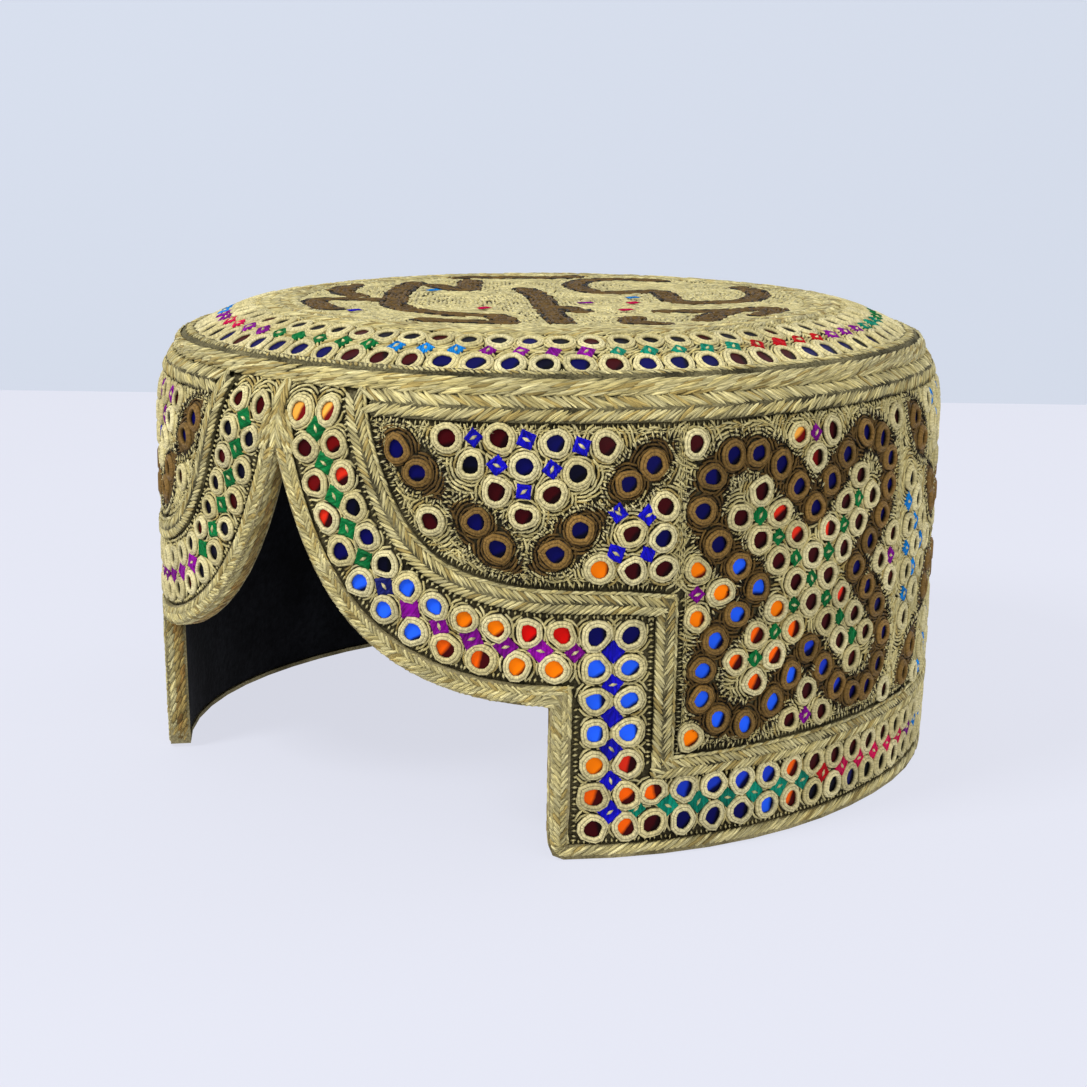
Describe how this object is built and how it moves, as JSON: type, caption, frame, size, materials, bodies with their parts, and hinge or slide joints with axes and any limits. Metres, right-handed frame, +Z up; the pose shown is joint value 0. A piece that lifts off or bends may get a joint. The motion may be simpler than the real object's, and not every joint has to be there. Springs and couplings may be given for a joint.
{
  "type": "sindhi cap",
  "caption": "Stiff embroidered oval cap with a flat top, a rounded shoulder and an upright wall, cut away at the front in a pointed arch with a square step at each side.",
  "frame": {"origin": "on the surface the cap stands on, below the middle of its plan", "axes": "+Z up, -Y towards the open front, +X towards the wearer's left side"},
  "size_m": [0.182, 0.1917, 0.1085],
  "materials": {
    "gold_thread": "pale gold silky thread, plaited and chain stitched",
    "gold_ground": "pale gold thread couched in flowing lines over a dark olive cloth",
    "brown_thread": "brown thread laid side by side",
    "silk_thread": "bright silk stars in green, blue, purple and crimson",
    "black_lining": "plain black velvet lining",
    "mirror_field": "small foil mirrors held by gold thread rings on an embroidered ground",
    "foil_mirror": "small coloured foil mirror"
  },
  "bodies": {
    "root": {"side_band": "gold_ground", "side_lining": "black_lining", "crown_shoulder": "gold_ground", "crown_top": "gold_ground", "crown_lining": "black_lining", "edge_binding": "gold_thread", "crown_welt": "gold_thread", "upper_braid": "gold_thread", "frame_braid": "gold_thread", "top_braid": "gold_thread", "right_flap_mirrors": "mirror_field", "left_flap_mirrors": "mirror_field"}
  },
  "joints": []
}
